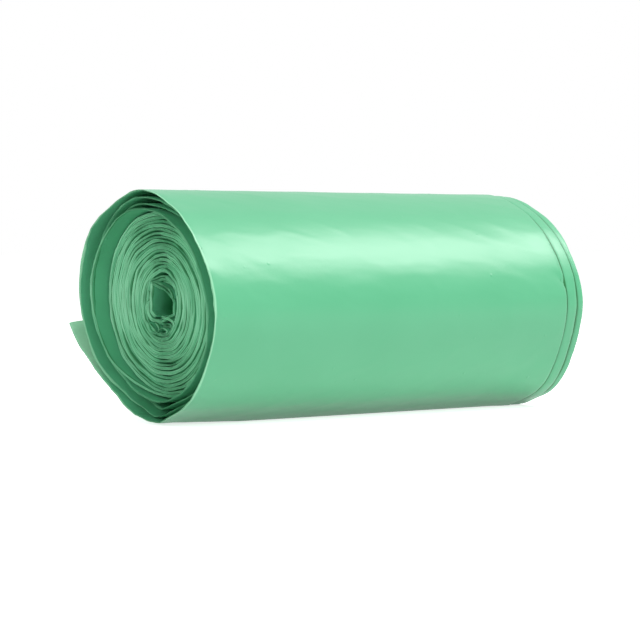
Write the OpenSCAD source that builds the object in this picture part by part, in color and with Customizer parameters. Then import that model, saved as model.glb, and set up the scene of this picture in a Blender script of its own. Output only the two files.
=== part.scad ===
// Coreless roll of folded film bags, lying on its side.
// X runs along the roll, +Y away from the viewer, +Z up, and the floor is at Z = 0.
// The origin is the middle of the small flat spot that the roll rests on.
// One web of film is wound from the hole outwards: a tight coil, then a few loose turns, then a free tail.
// The outer turns are loose at the left end, at -X, and lie tight on each other at the right end.

/* [Web] */
// Width of the folded web, along the roll
web_width = 150; // [110:1:300]
// Thickness of the folded web
web_thickness = 0.85; // [0.6:0.05:1.0]

/* [Coil] */
// Turns in the tight coil
coil_turns = 19; // [10:1:22]
// Air between neighbouring turns of the coil, at the loose end
coil_air = 0.55; // [0.4:0.01:0.7]
// How far the coil is pressed out of round, each way
coil_oval = 2.2; // [0:0.1:2.4]
// Direction in which the coil is widest, in degrees from +Y towards +Z
coil_oval_angle = 28; // [0:1:90]
// Height of the coil's underside over the floor, with the loose turns under it
coil_lift = 6; // [5.5:0.1:6.3]
// Sideways place of the coil's middle from the flat spot
coil_offset = 1.8; // [-1:0.1:2]

/* [Hole] */
// Distance from the hole's middle to its pressed upper side
hole_top = 2.8; // [2:0.1:5]
// Distance to its upright near side
hole_near = 6.7; // [4:0.1:8]
// Distance to its lower side
hole_bottom = 4.9; // [3:0.1:7]
// Distance to the fold at its lower far corner
hole_corner = 6; // [4:0.1:8]
// Distance to its leaning far side
hole_far = 6.2; // [4:0.1:8]
// Height of the hole's middle over the coil's middle
hole_rise = 1.7; // [0:0.1:3]

/* [Loose turns] */
// Loose turns wound round the coil
loose_turns = 3; // [1:1:4]
// Air between loose turns, every 30 degrees from the far side up and over to the near side and below
loose_air = [0.75, 1.2, 0.7, 1.4, 1.1, 0.9, 1.15, 0.6, 1, 1.95, 0.28, 0.45]; // [0.1:0.01:2]
// Air between the same turns at the other end, where they lie tight
tight_air = 0.12; // [0.1:0.02:0.3]
// Air between loose turns where the roll's weight presses them on the floor
pressed_air = 0.12; // [0.1:0.02:0.3]
// How far each turn has slid sideways out of the coil, from the outermost turn inwards
side_slip = [7.3, 2.9, 0, 5.8, 0]; // [0:0.1:8]
// Share of a turn over which one slip changes to the next
slip_run = 0.3; // [0.1:0.05:0.5]
// Small wander of the web's edges, each way
edge_wander = 0.35; // [0:0.05:0.6]

/* [Tail] */
// How far round past the flat spot the tail leaves the roll, in degrees
tail_leaves = 36; // [27:9:45]
// Length of the free tail from there
tail_length = 35; // [15:1:45]
// Slope of the tail where it leaves, in degrees
tail_rise = 33; // [25:1:36]
// Extra slope gained towards the tip, in degrees
tail_curl = 24; // [0:1:30]

/* [Colour] */
// Colour of the film
film_color = "MediumAquamarine"; // [MediumAquamarine, MediumSeaGreen, SeaGreen, White]

/* [Hidden] */

// Straight facets in each turn, and steps along the tail
steps_per_turn = 40;
step_angle = 360 / steps_per_turn;
tail_steps = 10;
tail_step = tail_length / tail_steps;
// How late along the tail its extra slope comes
curl_power = 3;

// Each flat side of the hole: its direction in degrees from +Y towards +Z, and its distance
hole_sides = [[112, hole_top], [180, hole_near], [263, hole_bottom], [308, hole_corner], [11, hole_far]];
// The smallest cosine that counts, so that a side seen edge on lies far away
grazing = 0.05;
// The two waves in the wander of the web's edges: degrees per turn, and share of the whole
wander_waves = [[247, 0.6], [1013, 0.4]];

function total(list) = list * [for (i = list) 1];
function smooth(x) = let (c = min(max(x, 0), 1)) c * c * (3 - 2 * c);
function mix(a, b, w) = a + (b - a) * w;

// Radius of the hole's outline: the nearest of its flat sides in that direction
function hole_radius(a) = min([for (side = hole_sides) side[1] / max(cos(a - side[0]), grazing)]);
hole_mean = total([for (i = [1 : steps_per_turn]) hole_radius(i * step_angle)]) / steps_per_turn;

turns = coil_turns + loose_turns;
coil_radius = hole_mean + coil_turns * (web_thickness + coil_air);
coil_middle = [coil_offset, coil_radius + coil_lift];
hole_middle = coil_middle + [0, hole_rise];

// The web is counted back from where the tail leaves, so that one station lies at the origin
wound_steps = round(turns * steps_per_turn);
end_angle = 270 - atan(coil_middle.x / coil_middle.y) + tail_leaves;

// Left edge of a turn that has not slid, with the whole web centred on the origin
max_slip = max(side_slip);
left_edge = -(web_width + max_slip) / 2 + max_slip;

// Radius of the coil's outline at its loose end, a slightly pressed circle
function coil_outline(a) = coil_radius + coil_oval * cos(2 * (a - coil_oval_angle));

// Air between loose turns in a direction, eased from one listed value to the next
function air(a) =
    let (count = len(loose_air))
    let (place = (a % 360 + 360) % 360 / 360 * count)
    let (from = floor(place) % count)
    mix(loose_air[from], loose_air[(from + 1) % count], smooth(place - floor(place)));

// How much further out a turn stands at the tight end: the air that each loose turn over it gives up,
// apart from the innermost one, which keeps its own
function turns_over(t) = min(max(ceil(turns - t) - 1, 0), loose_turns - 1);
function spread(a, t) = turns_over(t) * (air(a) - tight_air);

// Distance out to the web's middle line after t turns, with tight 0 at the loose end and 1 at the other:
// first shared out between the hole and the coil's outline, then added turn by turn outside the coil
function wind_radius(a, t, tight) =
    t < coil_turns
        ? mix(hole_radius(a), coil_outline(a) + tight * spread(a, t), t / coil_turns)
        : coil_outline(a) + (t - coil_turns) * (web_thickness + air(a)) + tight * spread(a, t);
function wind_middle(t) = mix(hole_middle, coil_middle, min(t / coil_turns, 1));

// A point there on the web's inner face (-1) or outer face (1), pressed flat where it lies on the floor
function wind_point(a, t, tight, face) =
    let (p = wind_middle(t) + (wind_radius(a, t, tight) + face * web_thickness / 2) * [cos(a), sin(a)])
    let (rest = round(turns - t) * (web_thickness + pressed_air) + (face < 0 ? web_thickness : 0))
    [p.x, max(p.y, rest)];

// Sideways slip of the web, counted in turns from the outer end, and the wander of its edges
function slip_of(turn) = side_slip[min(floor(max(turn, 0)), len(side_slip) - 1)];
function slip(out) =
    mix(slip_of(out - slip_run / 2), slip_of(out + slip_run / 2),
        smooth((out + slip_run / 2 - floor(out + slip_run / 2)) / slip_run));
function wander(t) = edge_wander * total([for (wave = wander_waves) wave[1] * sin(t * wave[0])]);

// One station, the web's four corners: its two faces at the left end, then at the right end
function station(left, right, t) =
    let (x = left_edge - slip(turns - t) + wander(t))
    [[x, left[0].x, left[0].y], [x, left[1].x, left[1].y],
     [x + web_width, right[1].x, right[1].y], [x + web_width, right[0].x, right[0].y]];

function wound_faces(a, t, tight) = [for (face = [-1, 1]) wind_point(a, t, tight, face)];
function wound_station(i) =
    let (t = i / steps_per_turn)
    let (a = end_angle - (wound_steps - i) * step_angle)
    station(wound_faces(a, t, 0), wound_faces(a, t, 1), t);

// Slope of the tail at a length along it, and the way that it heads there
function tail_slope(s) = tail_rise + tail_curl * pow(s / tail_length, curl_power);
function heading(s) = [cos(tail_slope(s)), sin(tail_slope(s))];

// Points of the tail's lower face, each one step on from the last
tail_line =
    [for (i = 0, p = wind_point(end_angle, turns, 0, 1); i <= tail_steps;
          p = p + tail_step * heading((i + 0.5) * tail_step), i = i + 1) p];
function tail_station(i) =
    let (h = heading(i * tail_step))
    let (faces = [tail_line[i] + web_thickness * [-h.y, h.x], tail_line[i]])
    station(faces, faces, turns);

// Sweep a list of four-cornered stations into one closed solid
module sweep(stations) {
    last = len(stations) - 1;
    sides = [for (i = [0 : last - 1], k = [0 : 3])
        let (n = (k + 1) % 4)
        [4 * i + k, 4 * i + n, 4 * (i + 1) + n, 4 * (i + 1) + k]];
    polyhedron([for (s = stations) each s], concat(sides, [[3, 2, 1, 0]], [[for (k = [0 : 3]) 4 * last + k]]));
}

// The whole roll: the wound web and its free tail, one continuous strip
module bag_roll() {
    color(film_color)
        sweep(concat([for (i = [0 : wound_steps]) wound_station(i)],
                     [for (i = [1 : tail_steps]) tail_station(i)]));
}

bag_roll();
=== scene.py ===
import itertools
import math
import bpy
import numpy as np
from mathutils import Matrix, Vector


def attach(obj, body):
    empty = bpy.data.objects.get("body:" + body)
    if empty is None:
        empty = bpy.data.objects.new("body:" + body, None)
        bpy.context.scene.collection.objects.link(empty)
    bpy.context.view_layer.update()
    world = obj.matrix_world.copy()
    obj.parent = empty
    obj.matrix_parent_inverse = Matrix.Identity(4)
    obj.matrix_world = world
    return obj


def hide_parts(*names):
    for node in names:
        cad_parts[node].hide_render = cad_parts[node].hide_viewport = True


# A roll of folded polyethylene bags, wound on itself with no core.
# All sizes are in millimetres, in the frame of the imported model, and mm turns them to metres.
# Angles round the roll are in degrees from +Y towards +Z, and a turn counts from the hole outwards.
mm = 0.001
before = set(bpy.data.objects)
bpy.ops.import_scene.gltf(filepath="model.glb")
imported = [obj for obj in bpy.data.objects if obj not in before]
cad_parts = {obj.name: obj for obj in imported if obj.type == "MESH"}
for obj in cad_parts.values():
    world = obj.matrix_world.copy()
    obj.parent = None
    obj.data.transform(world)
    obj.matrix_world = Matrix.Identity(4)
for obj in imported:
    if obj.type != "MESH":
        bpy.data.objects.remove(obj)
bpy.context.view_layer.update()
print("frame loaded")

view = {
    "azimuth": -38.77, "elevation": 1.643,
    "distance": 792.7, "lens": 132.07,
    "aim": (0.0, 2.0, 36.6),  # halfway along the roll, near its axis
    "shiftX": -0.0258, "shiftY": -0.0242,
}


def makeCamera():
    data = bpy.data.cameras.new("camera")
    data.lens = view["lens"]
    data.sensor_width = 36
    data.shift_x = view["shiftX"]
    data.shift_y = view["shiftY"]
    data.clip_end = 100
    azimuth = math.radians(view["azimuth"])
    elevation = math.radians(view["elevation"])
    back = Vector((math.sin(azimuth) * math.cos(elevation),
                   -math.cos(azimuth) * math.cos(elevation),
                   math.sin(elevation)))
    camera = bpy.data.objects.new("camera", data)
    camera.location = (Vector(view["aim"]) + back * view["distance"]) * mm
    camera.rotation_mode = "QUATERNION"
    camera.rotation_quaternion = (-back).to_track_quat("-Z", "Y")
    bpy.context.scene.collection.objects.link(camera)
    bpy.context.scene.camera = camera


makeCamera()
print("camera placed")


# Small helpers for arrays of numbers

def smooth(x):
    c = np.clip(x, 0, 1)
    return c * c * (3 - 2 * c)


def mix(a, b, w):
    return a + (b - a) * w


def cosDeg(angle):
    return np.cos(np.radians(angle))


def sinDeg(angle):
    return np.sin(np.radians(angle))


def awayFrom(angle, direction):
    # Degrees between two directions, from -180 to 180
    return (angle - direction + 180) % 360 - 180


latticeSize = 32
seedStep = 0.37  # grid cells that part two lines of noise with neighbouring seeds


def softNoise(points, scale, seed):
    # Smooth noise from -1 to 1: random values on a grid, eased from one to the next.
    # The seed fixes those values, so they are the same on every run
    lattice = np.random.default_rng(seed).uniform(-1, 1, (latticeSize,) * 3)
    place = np.asarray(points, float) / np.asarray(scale, float)
    base = np.floor(place).astype(int)
    part = smooth(place - base)
    total = 0
    for corner in itertools.product((0, 1), repeat=3):
        weight = np.prod(np.where(corner, part, 1 - part), axis=-1)
        cell = (base + corner) % latticeSize
        total = total + weight * lattice[cell[..., 0], cell[..., 1], cell[..., 2]]
    return total


def lineNoise(x, scale, seed):
    x = np.asarray(x, float)
    return softNoise(np.stack([x, 0 * x + seedStep * seed, 0 * x], -1), (scale, 1, 1), seed)


# How the web is wound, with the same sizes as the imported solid

web = {"width": 150.0, "thickness": 0.85}
coil = {"turns": 19, "air": 0.55, "oval": 2.2, "ovalAngle": 28, "lift": 6.0, "offset": 1.8}
hole = {
    # direction and distance of each flat side
    "sides": [(113, 2.3), (174, 6.2), (263, 5.2), (311, 7.6), (9, 6.2)],
    "meanRadius": 5.3, "rise": 1.7,
    "cornerSharpness": 24,  # higher makes the folded corners of the hole sharper
}
rings = {
    # the first turn keeps to the hole, and from the second on they are nearly round, with folds between
    "from": 0.75, "at": 2.0, "radius": 10.0, "middle": (2.0, 38.0),
    # no ply is thicker than this at the ends, first beside the hole and then further out
    "mostPitch": (0.9, 1.4), "mostFrom": 1.5,
}
loose = {
    "turns": 3,
    "air": [0.75, 1.2, 0.7, 1.4, 1.1, 0.9, 1.15, 0.6, 1.0, 1.95, 0.28, 0.45],  # every 30 degrees
    "tightAir": 0.12, "pressedAir": 0.12,
    "slip": [7.3, 2.9, 0.0, 5.8, 0.0], "slipRun": 0.3,
    "trim": [1.5, 0.9, 0.5, 0.0, 0.0],  # the film of the outer turns ends this much sooner at the right
    "settle": 0.25,  # share of a turn over which a turn comes out from under the one outside it
}
tail = {
    "leaves": 36, "length": 32.8, "rise": 34.5, "curl": 24.0, "curlPower": 3,
    "tipThickness": 0.4, "thinRate": 1.5,  # how quickly it thins along its length
    "calm": 0.9, "calmRate": 3,            # it is smoother than the wound turns
    "lean": 1.0, "leanReach": 6.0, "leanShare": 0.15,  # the tip's left corner hangs lower than the rest
}

turns = coil["turns"] + loose["turns"]
pitch = web["thickness"] + coil["air"]
coilRadius = hole["meanRadius"] + coil["turns"] * pitch
coilMiddle = np.array([coil["offset"], coilRadius + coil["lift"]])
holeMiddle = coilMiddle + np.array([0, hole["rise"]])
endAngle = 270 - math.degrees(math.atan(coilMiddle[0] / coilMiddle[1])) + tail["leaves"]
leftEdge = -(web["width"] - max(loose["slip"])) / 2
rightEdge = leftEdge + web["width"]


def angleOf(turn):
    return endAngle - (turns - turn) * 360


def holeRadius(angle):
    # The nearest flat side in each direction, with the corners slightly rounded
    power = hole["cornerSharpness"]
    total = 0
    for direction, distance in hole["sides"]:
        total = total + (np.clip(cosDeg(angle - direction), 0, 1) / distance) ** power
    return total ** (-1 / power)


def coilOutline(angle):
    return coilRadius + coil["oval"] * cosDeg(2 * (angle - coil["ovalAngle"]))


def looseAir(angle):
    values = np.array(loose["air"])
    place = (angle % 360) / 360 * len(values)
    start = np.floor(place).astype(int) % len(values)
    return mix(values[start], values[(start + 1) % len(values)], smooth(place - np.floor(place)))


def turnsOver(turn):
    # How many loose turns lie over this one, eased where the tail leaves
    out = turns - turn
    return np.floor(out) + smooth((out - np.floor(out) - 1) / loose["settle"] + 1)


def windings(turn, tight):
    # Share of round winding, then middle (y, z) and radius of the crumpled and of the round winding:
    # tight is 0 at the loose left end and 1 at the right end
    angle = angleOf(turn)
    over = np.clip(turnsOver(turn), 0, loose["turns"] - 1)
    outer = coilOutline(angle) + tight * over * (looseAir(angle) - loose["tightAir"])
    beyond = np.clip(turn - coil["turns"], 0, None) * (web["thickness"] + looseAir(angle))
    share = np.clip(turn / coil["turns"], 0, 1)
    roundShare = np.minimum((turn - rings["at"]) / (coil["turns"] - rings["at"]), 1)
    middles = [mix(holeMiddle, coilMiddle, share[:, None]),
               mix(np.array(rings["middle"]), coilMiddle, roundShare[:, None])]
    radii = [mix(holeRadius(angle), outer, share) + beyond,
             mix(rings["radius"], outer, roundShare) + beyond]
    return smooth((turn - rings["from"]) / (rings["at"] - rings["from"])), middles, radii


def windingPitch(turn):
    # Distance from one turn to the next, at the left end
    reach = []
    for half in (-0.5, 0.5):
        roundness, middles, radii = windings(turn + half, 0)
        reach.append(mix(radii[0], radii[1], roundness))
    most = mix(rings["mostPitch"][0], rings["mostPitch"][1], smooth(turn - rings["mostFrom"]))
    return np.minimum(reach[1] - reach[0], most)


def woundLine(turn, tight):
    # The web's middle line as (y, z) after that many turns, pressed flat where it lies on the floor
    angle = angleOf(turn)
    outward = np.stack([cosDeg(angle), sinDeg(angle)], -1)
    roundness, middles, radii = windings(turn, tight)
    crumpled, even = [middle + radius[:, None] * outward for middle, radius in zip(middles, radii)]
    line = mix(crumpled, even, roundness[:, None])
    rest = np.round(turns - turn) * (web["thickness"] + loose["pressedAir"]) + web["thickness"] / 2
    line[:, 1] = np.maximum(line[:, 1], rest)
    return line


def slipAt(out, listName="slip"):
    values = np.array(loose[listName])
    last = len(values) - 1
    place = out + loose["slipRun"] / 2
    near = values[np.clip(np.floor(place - loose["slipRun"]), 0, last).astype(int)]
    far = values[np.clip(np.floor(place), 0, last).astype(int)]
    return mix(near, far, smooth((place - np.floor(place)) / loose["slipRun"]))


nested = {
    # the second and third turns stand out nearly as far as the outer one at the top and near the bottom:
    # whole turns outside it, direction round the roll, half width, and millimetres further out
    "places": [(1, 84, 34, 3.2), (2, 84, 34, 5.4), (1, 248, 22, 3.0), (2, 248, 22, 5.4)],
    "ease": 0.1,  # share of a turn
}


def nestedSlip(turn):
    out = turns - turn
    total = 0 * out
    for index, direction, half, further in nested["places"]:
        inTurn = smooth((out - index) / nested["ease"]) * smooth((index + 1 - out) / nested["ease"])
        total = total + further * inTurn * np.exp(-(awayFrom(angleOf(turn), direction) / half) ** 2)
    return total


def tailLine(lengths):
    # Middle line of the free tail: a straight slope that bends up towards the tip
    fine = np.linspace(0, tail["length"], detail["tailFineSteps"])
    slope = tail["rise"] + tail["curl"] * (fine / tail["length"]) ** tail["curlPower"]
    step = fine[1] - fine[0]
    start = woundLine(np.array([float(turns)]), 0)[0]
    y = start[0] + np.concatenate([[0], np.cumsum(cosDeg(slope[:-1]) * step)])
    z = start[1] + np.concatenate([[0], np.cumsum(sinDeg(slope[:-1]) * step)])
    return np.stack([np.interp(lengths, fine, y), np.interp(lengths, fine, z)], -1)


def outwardNormals(line):
    along = np.gradient(line, axis=0)
    along /= np.linalg.norm(along, axis=-1, keepdims=True)
    return np.stack([along[:, 1], -along[:, 0]], -1)


# Stations along the web from the hole to the tip of the tail, which all the pieces share

detail = {
    "coreTurns": 8, "coreStep": 0.8,    # millimetres of film from one station to the next
    "coilTurns": 18, "coilStep": 1.15,
    "looseStep": 1.15, "fewestSteps": 96,
    "tailSteps": 48, "tailFineSteps": 400,
    "sharpAngle": 75,  # degrees between two faces from which their edge is kept sharp
}


def stationTurns():
    values = []
    for turn in range(turns):
        radius = hole["meanRadius"] + (turn + 0.5) * pitch
        step = detail["coreStep"] if turn < detail["coreTurns"] else detail["coilStep"]
        if turn >= detail["coilTurns"]:
            step = detail["looseStep"]
        steps = max(int(2 * math.pi * radius / step), detail["fewestSteps"])
        values.extend(turn + np.arange(steps) / steps)
    return np.array(values)


def makeStations():
    turn = stationTurns()
    lengths = np.linspace(0, tail["length"], detail["tailSteps"] + 1)
    wound = {"turn": np.concatenate([turn, np.full(len(lengths), float(turns))])}
    tailPoints = tailLine(lengths)
    wound["left"] = np.concatenate([woundLine(turn, 0), tailPoints])
    wound["right"] = np.concatenate([woundLine(turn, 1), tailPoints])
    wound["normal"] = outwardNormals(wound["left"])
    steps = np.linalg.norm(np.diff(wound["left"], axis=0), axis=1)
    wound["arc"] = np.concatenate([[0], np.cumsum(steps)])
    wound["along"] = np.concatenate([0 * turn, lengths / tail["length"]])
    wound["slip"] = slipAt(turns - wound["turn"])
    wound["pitch"] = windingPitch(wound["turn"])
    return wound


stations = makeStations()
print("stations worked out:", len(stations["turn"]))


# The folded edge of the web: rounded folds of film side by side, with grooves between them

edge = {
    # one value for each point across the web's end
    "across": [-1, -0.86, -0.66, -0.46, -0.33, -0.2, 0, 0.2, 0.33, 0.46, 0.66, 0.86, 1],  # inner to outer
    "depth": [0.4, 0.15, 0, 0.14, 0.45, 0.14, 0, 0.14, 0.45, 0.14, 0, 0.15, 0.4],
    "fold": [0, 0, 0, 0, 0.5, 1, 1, 1, 1.5, 2, 2, 2, 2],
    "paintedShade": [0.9, 0.2, 0, 0, 0.35, 0, 0, 0, 0.35, 0, 0, 0.2, 0.9],  # painted shade in the grooves
    "gapShare": [1, 0.5, 0, 0, 0, 0, 0, 0, 0, 0, 0, 0.5, 1],          # painted shade beside open gaps
    "paleAndPaintedLight": [0, 0.5, 1, 0.6, 0, 0.4, 0.7, 0.4, 0, 0.6, 1, 0.5, 0],    # paler along the folds: stress-whitened film, and painted highlight on the fold crests
    "gapDepth": 0.8,     # the web's corners lie this much deeper beside an open gap
    "foldWander": 0.28, "foldWanderLength": 11.0, "rippleShare": 0.5, "rippleLength": 2.75,
    "faceWander": 0.4, "faceWanderLength": 15.0,
    "turnWander": 0.5, "turnWanderLength": 26.0,
    "rightSteady": 0.5,  # the right end is more even than the left
}


def wanderOfFold(arc, fold, end):
    seed = 10 + 7 * fold + 3 * end  # each fold wanders in its own way at each end
    slow = lineNoise(arc, edge["foldWanderLength"], seed)
    quick = lineNoise(arc, edge["rippleLength"], seed + 1)
    return edge["foldWander"] * (slow + edge["rippleShare"] * quick)


def sectionRing(faceShares):
    # One closed ring round the web's section, column by column, with end -1 on the faces
    names = ("across", "depth", "fold", "paintedShade", "gapShare", "paleAndPaintedLight")
    rim = [dict(zip(names, row)) for row in zip(*(edge[name] for name in names))]
    flat = {"depth": 0.0, "fold": 0, "paintedShade": 0.0, "gapShare": 0.0, "paleAndPaintedLight": 0.0, "end": -1}
    ring = [dict(point, share=0.0, end=0) for point in rim]
    ring += [dict(flat, share=share, across=1.0) for share in faceShares]
    ring += [dict(point, share=1.0, end=1, depth=-point["depth"]) for point in reversed(rim)]
    ring += [dict(flat, share=share, across=-1.0) for share in reversed(faceShares)]
    return {name: np.array([point[name] for point in ring]) for name in ring[0]}


ends = {
    # coil turns fill their pitch at both ends, apart from irregular gaps that close a little way in
    "reach": 9.0, "touching": 0.97, "gapReach": 1.3, "leastHalf": 0.12,
    # the gaps as shares of the pitch, and the share of a turn from one to the next
    "gap": 0.05, "gapSwing": 0.5, "gapRipple": 0.6, "gapCloses": 0.05, "gapTurns": 0.13,
    "gapShare": 3.0,                         # how soon a gap counts as fully open
    "uneven": 0.48, "unevenTurns": 0.17,     # plies are thicker here and thinner there
    # loose turns are thin at their edges, with the outer face in place
    "thinTurns": 4, "thinEase": 0.1, "leftThickness": 0.45, "leftReach": 9.0,
    "rightThickness": 0.25, "rightAir": 0.1, "rightFrom": 24.0, "rightTo": 9.0,
    # and each right edge stands over a small groove in the turn under it, wider below
    "grooveDepth": 0.4, "grooveHalf": 1.15, "grooveWider": 1.0, "grooveBelow": 0.3,
    "grooveFade": 0.4, "grooveEase": 0.03,
}
thinStep = web["thickness"] + loose["tightAir"] - ends["rightThickness"] - ends["rightAir"]


def rightShare(x):
    # 0 in the body, 1 near the right end, where the thin edges of the loose turns step down
    return smooth((x - rightEdge + ends["rightFrom"]) / (ends["rightFrom"] - ends["rightTo"]))


def coverEdge(wound):
    # Where the right edge of the turn outside this one lies
    out = turns - wound["turn"] - 1
    return (rightEdge - slipAt(out) - slipAt(out, "trim"))[:, None]


def gapsBeside(wound, ring):
    # Share from 0 to 1 of an open gap next to each point on the web's edges, and 0 on the faces
    gaps = [np.clip(ends["gapShare"] * gapAt(wound["turn"] + side), 0, 1)[:, None]
            for side in (-0.5, 0.5)]
    return np.where(ring["across"][None, :] > 0, gaps[1], gaps[0]) * (ring["end"][None, :] >= 0)


def grooveHalf(wound):
    below = smooth(-ends["grooveBelow"] - sinDeg(angleOf(wound["turn"])))
    return (ends["grooveHalf"] + ends["grooveWider"] * below)[:, None]


def gapAt(place):
    # How far the web stands open there, where a place counts turns halfway between one and the next
    swing = lineNoise(place, ends["gapTurns"], 61)
    swing = swing + ends["gapRipple"] * lineNoise(place, ends["gapTurns"] / 3, 62)
    return ends["gap"] + ends["gapSwing"] * np.clip(swing - ends["gapCloses"], 0, None)


def faceOffsets(wound, x, fromLeft, fromRight):
    # How far the web's inner and outer faces stand from its middle line
    half = web["thickness"] / 2
    out = (turns - wound["turn"])[:, None]
    thin = smooth((ends["thinTurns"] + ends["thinEase"] - out) / (2 * ends["thinEase"]))
    fromEnd = np.clip(np.minimum(fromLeft, fromRight), 0, None)
    pitchHalf = wound["pitch"][:, None] / 2
    nearEnd = smooth(1 - fromEnd / ends["reach"])
    filled = []
    for side in (-0.5, 0.5):
        gap = gapAt(wound["turn"] + side)[:, None] * np.exp(-fromEnd / ends["gapReach"])
        wave = lineNoise(wound["turn"] + side, ends["unevenTurns"], 63)[:, None]
        shift = 2 * side * ends["uneven"] * wave
        face = mix(half, pitchHalf * (ends["touching"] + shift - gap), nearEnd)
        filled.append(np.maximum(face, ends["leastHalf"]))
    atLeft = np.exp(-(np.clip(fromLeft, 0, None) / ends["leftReach"]) ** 2)
    atRight = rightShare(x)
    slim = (web["thickness"] - ends["leftThickness"]) * atLeft
    slim = slim + (web["thickness"] - ends["rightThickness"]) * atRight * (1 - wound["along"][:, None])
    towardsTip = smooth(wound["along"] * tail["thinRate"])[:, None]
    slim = np.maximum(slim, (web["thickness"] - tail["tipThickness"]) * towardsTip)
    inner = mix(-filled[0], -half + slim, thin)
    outer = mix(filled[1], half, thin)
    raised = thinStep * atRight * np.minimum(turnsOver(wound["turn"]), loose["turns"])[:, None]
    shared = np.clip(wound["turn"] / (turns - ends["thinTurns"]), 0, 1)[:, None]
    lift = mix(loose["turns"] * thinStep * shared * atRight, raised, thin)
    groove = ends["grooveDepth"] * np.exp(-((x - coverEdge(wound)) / grooveHalf(wound)) ** 2)
    ease = ends["grooveEase"]
    covered = smooth((out - 1 + ease) / (2 * ease)) * smooth((loose["turns"] + ease - out) / (2 * ease))
    lift = lift - groove * covered
    return inner + lift, outer + lift


crumple = {
    "length": 9.0, "depth": 0.22,           # soft unevenness all through the coil
    "endReach": 12.0, "endDepth": 0.3,      # the ends of the web flutter more
    "endLength": 6.0,
    "lipDepth": 0.16, "lipLength": 4.5, "lipReach": 6.0, "lipEase": 0.3,  # handling crumples proud edges
    "coreDepth": 0.3, "coreLength": 2.6, "coreTurns": 2.6,
    # the inner turns ripple above the hole
    "rippleDepth": 0.3, "rippleLength": 2.2, "rippleFrom": 2.5, "rippleTo": 9.0, "rippleEase": (2, 3),
    "rippleAngle": 100, "rippleHalf": 55,
    # the outer turns are calmer, with long soft waves and shallow slanting creases
    "skinTurns": 3.5, "skinCalm": 0.85, "skinEndCalm": 0.5,
    "skinDepth": 0.12, "skinLength": (60.0, 24.0, 24.0),
    "creaseDepth": 0.09, "creaseLength": (30.0, 7.0, 7.0), "creaseLean": 0.35,
    "creaseSharpness": 2.4, "creaseFoot": -0.2,
}
swell = {
    # the outer turns bulge a little at the right end: direction round the roll, half width, height
    "places": [(150, 26, 0.8), (231, 24, 1.7)], "from": 45.0, "fromTurn": 15, "ease": 3,
}
nick = {
    # a short crease that starts at a nick in the outer turn's right edge
    "place": (70.2, -33.3, 43.2), "direction": (-0.78, 0.0, 0.62),
    "length": 8.0, "half": 1.2, "depth": 0.7, "ahead": 1.5,
}


def nickDepth(points, turn):
    away = (points - np.array(nick["place"])) * np.array([1, 0, 1])  # the film is upright there
    along = away @ np.array(nick["direction"])
    across = np.sqrt(np.clip((away ** 2).sum(-1) - along ** 2, 0, None))
    fade = smooth(1 - along / nick["length"]) * (turn > turns - 1) * (points[..., 1] < 0)
    return -nick["depth"] * fade * np.exp(-(across / nick["half"]) ** 2) * smooth(along + nick["ahead"])


def unevenness(points, turn, angle, fromLeft, fromRight):
    # How far the film stands off its even winding, in millimetres outwards
    skin = smooth(turn - turns + crumple["skinTurns"])
    total = crumple["depth"] * (1 - crumple["skinCalm"] * skin) * softNoise(points, crumple["length"], 1)
    flutter = np.exp(-np.clip(np.minimum(fromLeft, fromRight), 0, None) / crumple["endReach"])
    ending = crumple["endDepth"] * flutter * (1 - crumple["skinEndCalm"] * skin)
    total = total + ending * softNoise(points, crumple["endLength"], 2)
    lip = smooth((turn - detail["coilTurns"]) / crumple["lipEase"])
    lip = lip * np.exp(-np.clip(fromLeft, 0, None) / crumple["lipReach"])
    total = total + crumple["lipDepth"] * lip * softNoise(points, crumple["lipLength"], 9)
    core = np.exp(-(turn / crumple["coreTurns"]) ** 2)
    total = total + crumple["coreDepth"] * core * softNoise(points, crumple["coreLength"], 3)
    ripple = smooth((turn - crumple["rippleFrom"]) / crumple["rippleEase"][0])
    ripple = ripple * smooth((crumple["rippleTo"] - turn) / crumple["rippleEase"][1])
    ripple = ripple * np.exp(-(awayFrom(angle, crumple["rippleAngle"]) / crumple["rippleHalf"]) ** 2)
    ripple = ripple * crumple["rippleDepth"] * flutter
    total = total + ripple * softNoise(points, crumple["rippleLength"], 6)
    leaning = points.copy()
    leaning[..., 1] = leaning[..., 1] + crumple["creaseLean"] * points[..., 0]
    total = total + skin * crumple["skinDepth"] * softNoise(points, crumple["skinLength"], 4)
    ridge = 1 - np.abs(softNoise(leaning, crumple["creaseLength"], 5)) * crumple["creaseSharpness"]
    total = total + skin * crumple["creaseDepth"] * np.clip(ridge, crumple["creaseFoot"], 1) ** 2
    for direction, half, height in swell["places"]:
        near = np.exp(-(awayFrom(angle, direction) / half) ** 2)
        near = near * smooth((turn - swell["fromTurn"]) / swell["ease"])
        near = near * smooth((points[..., 0] - swell["from"]) / (rightEdge - swell["from"]))
        total = total + height * near
    return total + nickDepth(points, turn)


lifted = {
    "bumps": [(8.0, 7.0, 2.4), (-8.0, 14.0, 0.8)],  # place along Y, half width and height
    "reach": 36.0, "under": 12.0,
}


def liftLeftEnd(points):
    # The loose turns stand off the floor at the left end, most of all towards the tail
    fromLeft = points[..., 0] - leftEdge + max(loose["slip"])
    height = 0
    for place, half, size in lifted["bumps"]:
        height = height + size * np.exp(-((points[..., 1] - place) / half) ** 2)
    height = height * smooth(1 - fromLeft / lifted["reach"])
    points[..., 2] += height * np.clip(1 - points[..., 2] / lifted["under"], 0, 1)


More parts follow.
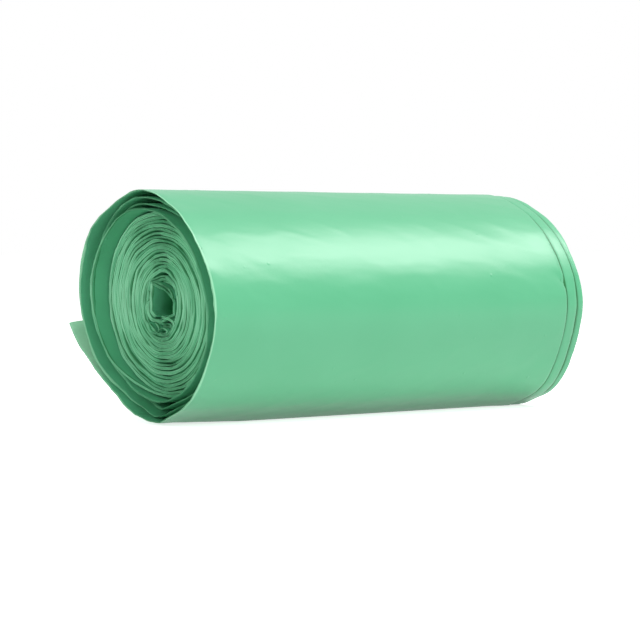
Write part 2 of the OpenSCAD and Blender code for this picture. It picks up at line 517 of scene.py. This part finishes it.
shade = {
    "inwardFrom": 2.5, "inwardReach": 7.5,      # millimetres inside an end over which the painted shade deepens
    "lipReach": 7.0, "lipDeep": 0.05,           # much less painted shade between the loose turns
    "coverEase": 0.05, "shownFrom": 0.2, "shownOver": 0.5,  # where a turn comes out from under the next, without painted shade
    # folds are paler and grooves carry more painted shade by turns along the web
    "grooveSwing": 0.3, "paleAndPaintedLight": 0.72, "paleSwing": 0.36, "paleLength": 7.0,
    "bandLength": 24.0, "bandSwing": 0.3, "bandPale": 0.6,
    # painted highlight along the outer turn's left edge, less of it at the loose turns' right edges, and
    # painted light through the tail's inner face
    "lipPaintedHighlight": 1.0, "lipHalf": 0.9, "lipEase": 0.02, "tightPale": 0.2, "tailPaintedLight": 1.2, "tailRate": 2,
}


def edgeShades(wound, ring, x, fromLeft, fromRight):
    # Two shares from 0 to 1: painted shade, for how deep inside the roll a point is and for grooves, gaps
    # and the loose turns' right edges; and how near to a fold, with painted highlight and painted light
    out = (turns - wound["turn"])[:, None]
    across = ring["across"][None, :]
    covered = np.where(across > 0, smooth((out - 1) / shade["coverEase"]), 1.0)
    onLip = (out < ends["thinTurns"]) & (fromLeft < fromRight)
    start = np.where(onLip, 0, shade["inwardFrom"])
    reach = np.where(onLip, shade["lipReach"], shade["inwardReach"])
    deep = smooth((np.minimum(fromLeft, fromRight) - start) / (reach - start))
    deep = deep * np.where(onLip, shade["lipDeep"], 1.0)
    beyond = x - coverEdge(wound)
    outside = (across > 0) * (out < loose["turns"])
    shown = smooth((beyond - shade["shownFrom"]) / shade["shownOver"]) * outside
    # painted shade: a dark line on the turn just beyond the right edge of the turn over it
    underEdge = smooth((grooveHalf(wound) - np.abs(beyond)) / ends["grooveFade"]) * outside
    along = wound["along"][:, None]
    paintedShade = np.maximum(deep * (1 - shown), underEdge) * covered * (1 - along)
    swing = shade["grooveSwing"]
    uneven = 1 - swing + swing * lineNoise(wound["arc"], shade["paleLength"], 71)[:, None]
    onEdge = ring["end"][None, :] >= 0
    # painted shade beside open gaps and in the grooves of the coil's ends
    gaps = gapsBeside(wound, ring) * ring["gapShare"][None, :]
    band = shade["bandSwing"] * lineNoise(wound["arc"], shade["bandLength"], 73)[:, None]
    onFace = ring["paintedShade"][None, :] * uneven + gaps + np.clip(-band, 0, None)
    inCoil = smooth(out - loose["turns"])
    paintedShade = np.where(onEdge, np.clip(onFace * inCoil, 0, 1), paintedShade)
    patchy = shade["paleSwing"] * lineNoise(wound["arc"], shade["paleLength"], 72)[:, None]
    patchy = shade["paleAndPaintedLight"] + patchy + shade["bandPale"] * band
    paleAndPaintedLight = ring["paleAndPaintedLight"][None, :] * np.clip(patchy, 0, 1) * (1 - gaps * inCoil)
    # less painted highlight on the loose turns' right edges
    paleAndPaintedLight = paleAndPaintedLight * np.where((out < loose["turns"]) & (ring["end"][None, :] == 1), shade["tightPale"], 1.0)
    # painted highlight along the outer turn's left edge
    ease = shade["lipEase"]
    lip = smooth((1 + ease - out) / (2 * ease)) * (ring["end"][None, :] == 0)
    paleAndPaintedLight = np.maximum(paleAndPaintedLight, shade["lipPaintedHighlight"] * lip * (np.abs(across) < shade["lipHalf"])) * onEdge
    # painted light through the thin tail's inner face
    return paintedShade, np.maximum(paleAndPaintedLight, shade["tailPaintedLight"] * smooth(along * shade["tailRate"]) * (across < 0))


def makeStrip(wound, faceShares):
    # Sweep the web's section along the stations, as points with their shades
    ring = sectionRing(faceShares)
    turn = wound["turn"][:, None]
    middle = (wound["left"] + wound["right"]) / 2
    place = np.stack([0 * wound["turn"], middle[:, 0], middle[:, 1]], -1)
    shift = edge["faceWander"] * softNoise(place, edge["faceWanderLength"], 8)
    shift = shift + edge["turnWander"] * lineNoise(wound["arc"], edge["turnWanderLength"], 9)
    further = nestedSlip(wound["turn"])
    width = (web["width"] + further)[:, None]
    left = (leftEdge - wound["slip"] - further + shift)[:, None]
    trim = edge["rightSteady"] * shift + slipAt(turns - wound["turn"], "trim")
    x = left + ring["share"][None, :] * (width - trim[:, None])
    recess = edge["gapDepth"] * gapsBeside(wound, ring) * (np.abs(ring["across"]) == 1)
    x = x + ring["depth"][None, :] + recess * (1 - 2 * ring["end"][None, :])
    for column in np.flatnonzero(ring["end"] >= 0):
        fold, end = ring["fold"][column], ring["end"][column]
        x[:, column] += (wanderOfFold(wound["arc"], math.floor(fold), end)
                         + wanderOfFold(wound["arc"], math.ceil(fold), end)) / 2
    fromLeft = x - left
    fromRight = width - fromLeft
    line = mix(wound["left"][:, None, :], wound["right"][:, None, :], ring["share"][None, :, None])
    points = np.concatenate([x[..., None], line], -1)
    inner, outer = faceOffsets(wound, x, fromLeft, fromRight)
    off = mix(inner, outer, (ring["across"][None, :] + 1) / 2)
    along = wound["along"][:, None]
    lively = 1 - tail["calm"] * smooth(along * tail["calmRate"])
    off = off + lively * unevenness(points, turn + 0 * x, angleOf(turn) + 0 * x, fromLeft, fromRight)
    points[..., 1:] += off[..., None] * wound["normal"][:, None, :]
    lean = 1 - tail["leanShare"] - np.exp(-np.clip(fromLeft, 0, None) / tail["leanReach"])
    points[..., 2] += tail["lean"] * along ** 2 * lean
    liftLeftEnd(points)
    points[..., 2] = np.maximum(points[..., 2], 0)
    return points, edgeShades(wound, ring, x, fromLeft, fromRight)


def meshFromStrip(name, wound, faceShares, material):
    points, shades = makeStrip(wound, faceShares)
    count = points.shape[1]
    last = (len(points) - 1) * count
    row = np.arange(count)
    nextRow = (row + 1) % count
    faces = []
    for start in range(0, last, count):
        after = start + count
        corners = np.stack([start + row, start + nextRow, after + nextRow, after + row], -1)
        faces.extend(corners.tolist())
    faces.append(row[::-1].tolist())
    faces.append((last + row).tolist())
    mesh = bpy.data.meshes.new(name)
    mesh.from_pydata((points.reshape(-1, 3) * mm).tolist(), [], faces)
    mesh.shade_smooth()
    mesh.set_sharp_from_angle(angle=math.radians(detail["sharpAngle"]))
    # painted shade, and paleness with painted highlight and painted light, kept on the points for the
    # film
    for shadeName, values in zip(("paintedShade", "paleAndPaintedLight"), shades):
        attribute = mesh.attributes.new(shadeName, "FLOAT", "POINT")
        attribute.data.foreach_set("value", values.reshape(-1).astype(np.float32))
    placePiece(name, mesh, material)


def placePiece(name, mesh, material):
    mesh.materials.append(material)
    piece = bpy.data.objects.new(name, mesh)
    bpy.context.scene.collection.objects.link(piece)
    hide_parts("bag_roll")
    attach(piece, "root")
    print(name, "made with", len(mesh.polygons), "faces")


# Finishes

def toLinear(hexColor):
    channels = [int(hexColor[i:i + 2], 16) / 255 for i in (1, 3, 5)]
    return [c / 12.92 if c <= 0.04045 else ((c + 0.055) / 1.055) ** 2.4 for c in channels] + [1.0]


def addNode(tree, kind, settings=None, links=None):
    node = tree.nodes.new(kind)
    for name, value in (settings or {}).items():
        if name in node.inputs:
            node.inputs[name].default_value = value
        else:
            setattr(node, name, value)
    for name, source in (links or {}).items():
        tree.links.new(source, node.inputs[name])
    return node


film = {
    "color": "#4FA87A", "paleColor": "#5BB084",
    "paintedShadeColor": "#176B38",  # painted shade inside the roll, in its grooves and gaps and beyond the loose turns' right edges
    "paleAndLitColor": "#97D4AE", "paleAndLitShare": 0.8,  # a sharp fold in this film turns paler; the same colour is painted highlight on fold crests and the outer turn's left edge, and painted light through the tail
    "ior": 1.5, "roughness": 0.37,
    "cloudSize": 35.0, "cloudDetail": 3.0,       # millimetres across one cloud of paler film
    "grainSize": 2.2, "grainDepth": 0.018, "grainDetail": 4.0,  # one fine wrinkle, across and deep
    # long slanting wrinkles, along the roll and across it, with their slant in degrees
    "wrinkleSize": (26.0, 5.0, 5.0), "wrinkleDepth": 0.11, "wrinkleLean": 24,
    "wrinkleDetail": 1.5, "wrinkleRoughness": 0.4,
    "pipSpacing": 9.0, "pipSize": 0.8, "pipDepth": 0.08,   # specks caught under the outer layers
}


def makeFilmMaterial():
    # High-density polyethylene film, blown thin: satin, faintly cloudy, with fine wrinkles from winding
    material = bpy.data.materials.new("blownPolyethyleneFilm")
    material.use_nodes = True
    tree = material.node_tree
    tree.nodes.clear()
    place = addNode(tree, "ShaderNodeTexCoord")
    clouds = addNode(tree, "ShaderNodeTexNoise",
                     {"Scale": 1 / (film["cloudSize"] * mm), "Detail": film["cloudDetail"]},
                     {"Vector": place.outputs["Object"]})
    color = addNode(tree, "ShaderNodeMix", {"data_type": "RGBA"})
    color.inputs[6].default_value = toLinear(film["color"])
    color.inputs[7].default_value = toLinear(film["paleColor"])
    tree.links.new(clouds.outputs["Fac"], color.inputs[0])
    # painted shade from the mesh darkens the film's colour
    paintedShade = addNode(tree, "ShaderNodeAttribute", {"attribute_name": "paintedShade"})
    withPaintedShade = addNode(tree, "ShaderNodeMix", {"data_type": "RGBA"})
    withPaintedShade.inputs[7].default_value = toLinear(film["paintedShadeColor"])
    tree.links.new(paintedShade.outputs["Fac"], withPaintedShade.inputs[0])
    tree.links.new(color.outputs[2], withPaintedShade.inputs[6])
    # paleness from the mesh: stress-whitened folds, with painted highlight on fold crests and the outer
    # turn's left edge, and painted light in the tail
    paleAndPaintedLight = addNode(tree, "ShaderNodeAttribute", {"attribute_name": "paleAndPaintedLight"})
    paleShare = addNode(tree, "ShaderNodeMath", {"operation": "MULTIPLY"})
    paleShare.inputs[1].default_value = film["paleAndLitShare"]
    tree.links.new(paleAndPaintedLight.outputs["Fac"], paleShare.inputs[0])
    paleAndLit = addNode(tree, "ShaderNodeMix", {"data_type": "RGBA"})
    paleAndLit.inputs[7].default_value = toLinear(film["paleAndLitColor"])
    tree.links.new(paleShare.outputs[0], paleAndLit.inputs[0])
    tree.links.new(withPaintedShade.outputs[2], paleAndLit.inputs[6])
    grain = addNode(tree, "ShaderNodeTexNoise",
                    {"Scale": 1 / (film["grainSize"] * mm), "Detail": film["grainDetail"]},
                    {"Vector": place.outputs["Object"]})
    slanted = addNode(tree, "ShaderNodeMapping", {"Rotation": (0, 0, math.radians(film["wrinkleLean"]))},
                      {"Vector": place.outputs["Object"]})
    stretched = addNode(tree, "ShaderNodeMapping",
                        {"Scale": [1 / (size * mm) for size in film["wrinkleSize"]]},
                        {"Vector": slanted.outputs["Vector"]})
    wrinkles = addNode(tree, "ShaderNodeTexNoise",
                       {"Scale": 1.0, "Detail": film["wrinkleDetail"],
                        "Roughness": film["wrinkleRoughness"]},
                       {"Vector": stretched.outputs["Vector"]})
    pips = addNode(tree, "ShaderNodeTexVoronoi", {"Scale": 1 / (film["pipSpacing"] * mm)},
                   {"Vector": place.outputs["Object"]})
    pip = addNode(tree, "ShaderNodeMapRange", {"interpolation_type": "SMOOTHSTEP"},
                  {"Value": pips.outputs["Distance"]})
    pip.inputs["From Min"].default_value = 0
    pip.inputs["From Max"].default_value = film["pipSize"] / film["pipSpacing"]
    pip.inputs["To Min"].default_value = film["pipDepth"]
    pip.inputs["To Max"].default_value = 0
    height = pip.outputs["Result"]
    for texture, depth in ((grain, film["grainDepth"]), (wrinkles, film["wrinkleDepth"])):
        total = addNode(tree, "ShaderNodeMath", {"operation": "MULTIPLY_ADD"})
        total.inputs[1].default_value = depth
        tree.links.new(texture.outputs["Fac"], total.inputs[0])
        tree.links.new(height, total.inputs[2])
        height = total.outputs[0]
    bump = addNode(tree, "ShaderNodeBump", {"Strength": 1.0, "Distance": mm}, {"Height": height})
    shader = addNode(tree, "ShaderNodeBsdfPrincipled",
                     {"Roughness": film["roughness"], "IOR": film["ior"]},
                     {"Base Color": paleAndLit.outputs[2], "Normal": bump.outputs["Normal"]})
    addNode(tree, "ShaderNodeOutputMaterial", None, {"Surface": shader.outputs["BSDF"]})
    return material


filmMaterial = makeFilmMaterial()
print("film material made")


# Four pieces of one strip share their end stations:
# the core, the coil, the loose turns and the outer turn

# Points on the web's faces near its ends, as shares of its width, finer beside the loose turns' edges
nearEnds = [0.005, 0.01, 0.016, 0.024, 0.036, 0.055]
rightSteps = [0.925, 0.935, 0.944, 0.952, 0.959, 0.964, 0.9675, 0.969, 0.9699, 0.9707, 0.9715, 0.9725,
              0.9745, 0.977, 0.9791, 0.9799, 0.9807, 0.9815, 0.9825, 0.9845, 0.988, 0.992]
middleSteps = {"core": 6, "coil": 6, "loose": 25, "outer": 120, "fold": 6}


def sharesWith(steps, rightFine=False):
    last = [1 - share for share in reversed(nearEnds)]
    if rightFine:
        last = rightSteps
    middle = np.linspace(nearEnds[-1], last[0], steps + 1)[1:-1].tolist()
    return nearEnds + middle + last


def stretchOf(first, last):
    keep = (stations["turn"] >= first) & (stations["turn"] <= last)
    if last < turns:
        keep = keep & (stations["along"] == 0)
    return {name: values[keep] for name, values in stations.items()}


coreEnd, coilEnd, looseEnd = detail["coreTurns"], detail["coilTurns"], turns - 1
looseShares = sharesWith(middleSteps["loose"], True)
meshFromStrip("coreTurns", stretchOf(0, coreEnd), sharesWith(middleSteps["core"]), filmMaterial)
meshFromStrip("coilTurns", stretchOf(coreEnd, coilEnd), sharesWith(middleSteps["coil"]), filmMaterial)
meshFromStrip("looseTurns", stretchOf(coilEnd, looseEnd), looseShares, filmMaterial)
meshFromStrip("outerTurn", stretchOf(looseEnd, turns), sharesWith(middleSteps["outer"]), filmMaterial)


# Crumpled folds of the first bag, pressed between the hole and the first round turns

folds = {
    "step": 0.35, "fewestSteps": 8, "curveSteps": 16,
    "turn": 0.5,                    # the turn that a fold shares its shades with
    "arcFrom": 900, "arcStep": 40,  # gives each fold its own stretch of the noise along the web
    # each fold: (y, z) points from one end to the other, how far it stands out at the left, thickness
    "lines": [
        ([(5.7, 45.1), (3.4, 44.5), (0.7, 43.5), (-1.9, 42.4), (-3.9, 41.0), (-4.9, 39.0)],
         0.3, 0.55),
        ([(3.2, 45.5), (0.9, 45.1), (-1.4, 44.5), (-3.2, 43.6), (-4.6, 42.2)], -0.7, 1.3),
        ([(8.6, 45.4), (6.2, 46.2), (2.9, 46.7), (-0.6, 46.4), (-3.4, 45.2), (-5.5, 43.2), (-6.7, 40.9)],
         0.1, 0.75),
        ([(9.2, 45.6), (9.9, 43.8), (9.5, 41.6), (9.1, 39.8), (9.9, 38.2), (10.1, 36.0), (9.4, 33.4)],
         0.2, 0.6),
        ([(10.8, 44.0), (11.1, 42.0), (10.9, 39.5), (11.2, 37.0), (10.9, 34.6)], -0.4, 0.5),
        ([(1.4, 33.8), (-1.2, 33.6), (-3.6, 33.2), (-5.3, 32.2), (-5.5, 31.0)], 0.1, 1.3),
        ([(7.0, 33.1), (4.4, 32.3), (2.4, 31.6), (0.2, 31.4), (-1.8, 31.7), (-3.8, 31.2)], 0.5, 0.6),
        ([(3.4, 29.4), (2.4, 30.0), (0.6, 30.1), (-1.0, 29.7), (-1.3, 29.1), (0.2, 28.8), (2.4, 28.8)],
         0.6, 0.5),
        ([(10.9, 32.7), (9.4, 31.7), (8.6, 30.3), (7.3, 29.2), (5.2, 28.5)], 0.2, 0.7),
        ([(6.6, 32.0), (5.5, 31.3), (4.8, 30.4), (4.4, 29.5)], -0.5, 0.6),
        ([(-5.9, 31.6), (-5.6, 30.4), (-4.4, 29.4), (-2.4, 28.7)], -0.1, 0.6),
        ([(2.6, 30.7), (0.4, 30.7), (-1.8, 30.6), (-3.4, 30.0)], -1.0, 0.9),
    ],
}


def curveThrough(points, step):
    # A smooth line through a few points, with even steps
    points = np.array(points)
    padded = np.concatenate([[2 * points[0] - points[1]], points, [2 * points[-1] - points[-2]]])
    line = []
    for a, b, c, d in zip(padded, padded[1:], padded[2:], padded[3:]):
        for t in np.linspace(0, 1, folds["curveSteps"], endpoint=False):
            line.append(0.5 * (2 * b + (c - a) * t + (2 * a - 5 * b + 4 * c - d) * t ** 2
                               + (3 * b - a - 3 * c + d) * t ** 3))
    line = np.array(line + [points[-1]])
    length = np.concatenate([[0], np.cumsum(np.linalg.norm(np.diff(line, axis=0), axis=1))])
    even = np.linspace(0, length[-1], max(int(length[-1] / step), folds["fewestSteps"]))
    return np.stack([np.interp(even, length, line[:, k]) for k in (0, 1)], -1), even


def makeFolds():
    for index, (points, proud, thickness) in enumerate(folds["lines"]):
        line, arc = curveThrough(points, folds["step"])
        count = len(arc)
        wound = {
            "turn": np.full(count, folds["turn"]), "along": np.zeros(count),
            "left": line, "right": line, "normal": outwardNormals(line),
            "arc": arc + folds["arcFrom"] + folds["arcStep"] * index,
            "slip": np.full(count, proud), "pitch": np.full(count, thickness),
        }
        meshFromStrip("fold" + str(index + 1), wound, sharesWith(middleSteps["fold"]), filmMaterial)


makeFolds()


# Plain pale floor, white backdrop and soft studio light

stage = {
    "floorSize": 12.0, "floorDrop": 0.0001,  # in metres
    "floorColor": "#F6F7F6",
    "floorGlow": 0.72, "worldStrength": 0.35,
}
lamps = [
    # name, place and aim in millimetres, width and height in millimetres, watts
    ("keySoftbox", (660, -344, 847), (0, 0, 37), 400, 340, 6.0),
    ("frontSoftbox", (110, -374, 1065), (0, 0, 37), 500, 420, 5.2),
    ("leftSoftbox", (-1012, -427, 330), (0, 0, 37), 500, 420, 6.6),
    ("lowSoftbox", (-100, -1050, 120), (0, 0, 30), 700, 180, 1.15),
]


def showsWhite(tree):
    # 1 for what the camera sees, straight or mirrored in the film, and 0 for the light on the object
    rays = addNode(tree, "ShaderNodeLightPath")
    shown = rays.outputs["Is Camera Ray"]
    for name in ("Is Glossy Ray", "Is Transmission Ray"):
        either = addNode(tree, "ShaderNodeMath", {"operation": "MAXIMUM"})
        tree.links.new(shown, either.inputs[0])
        tree.links.new(rays.outputs[name], either.inputs[1])
        shown = either.outputs[0]
    return shown


def makeStage():
    mesh = bpy.data.meshes.new("floor")
    half = stage["floorSize"] / 2
    corners = [(-half, -half), (half, -half), (half, half), (-half, half)]
    mesh.from_pydata([(x, y, -stage["floorDrop"]) for x, y in corners], [], [(0, 1, 2, 3)])
    floor = bpy.data.objects.new("floor", mesh)
    bpy.context.scene.collection.objects.link(floor)
    material = bpy.data.materials.new("paleFloor")
    material.use_nodes = True
    tree = material.node_tree
    tree.nodes.clear()
    matt = addNode(tree, "ShaderNodeBsdfDiffuse", {"Color": toLinear(stage["floorColor"])})
    glow = addNode(tree, "ShaderNodeEmission", {"Color": (1, 1, 1, 1), "Strength": stage["floorGlow"]})
    both = addNode(tree, "ShaderNodeAddShader")
    tree.links.new(matt.outputs[0], both.inputs[0])
    tree.links.new(glow.outputs[0], both.inputs[1])
    seen = addNode(tree, "ShaderNodeMixShader", None, {"Fac": showsWhite(tree)})
    tree.links.new(matt.outputs[0], seen.inputs[1])
    tree.links.new(both.outputs[0], seen.inputs[2])
    addNode(tree, "ShaderNodeOutputMaterial", None, {"Surface": seen.outputs[0]})
    mesh.materials.append(material)

    world = bpy.data.worlds.new("studio")
    bpy.context.scene.world = world
    world.use_nodes = True
    tree = world.node_tree
    tree.nodes.clear()
    soft = addNode(tree, "ShaderNodeBackground",
                   {"Color": (1, 1, 1, 1), "Strength": stage["worldStrength"]})
    white = addNode(tree, "ShaderNodeBackground", {"Color": (1, 1, 1, 1), "Strength": 1.0})
    seen = addNode(tree, "ShaderNodeMixShader", None, {"Fac": showsWhite(tree)})
    tree.links.new(soft.outputs[0], seen.inputs[1])
    tree.links.new(white.outputs[0], seen.inputs[2])
    addNode(tree, "ShaderNodeOutputWorld", None, {"Surface": seen.outputs[0]})

    for name, place, aim, width, height, power in lamps:
        data = bpy.data.lights.new(name, "AREA")
        data.shape = "RECTANGLE"
        data.size, data.size_y = width * mm, height * mm
        data.energy = power
        lamp = bpy.data.objects.new(name, data)
        lamp.location = Vector(place) * mm
        lamp.rotation_mode = "QUATERNION"
        lamp.rotation_quaternion = (Vector(aim) - Vector(place)).to_track_quat("-Z", "Y")
        bpy.context.scene.collection.objects.link(lamp)


makeStage()
bpy.context.scene.view_settings.view_transform = "Standard"
print("stage and lamps made")
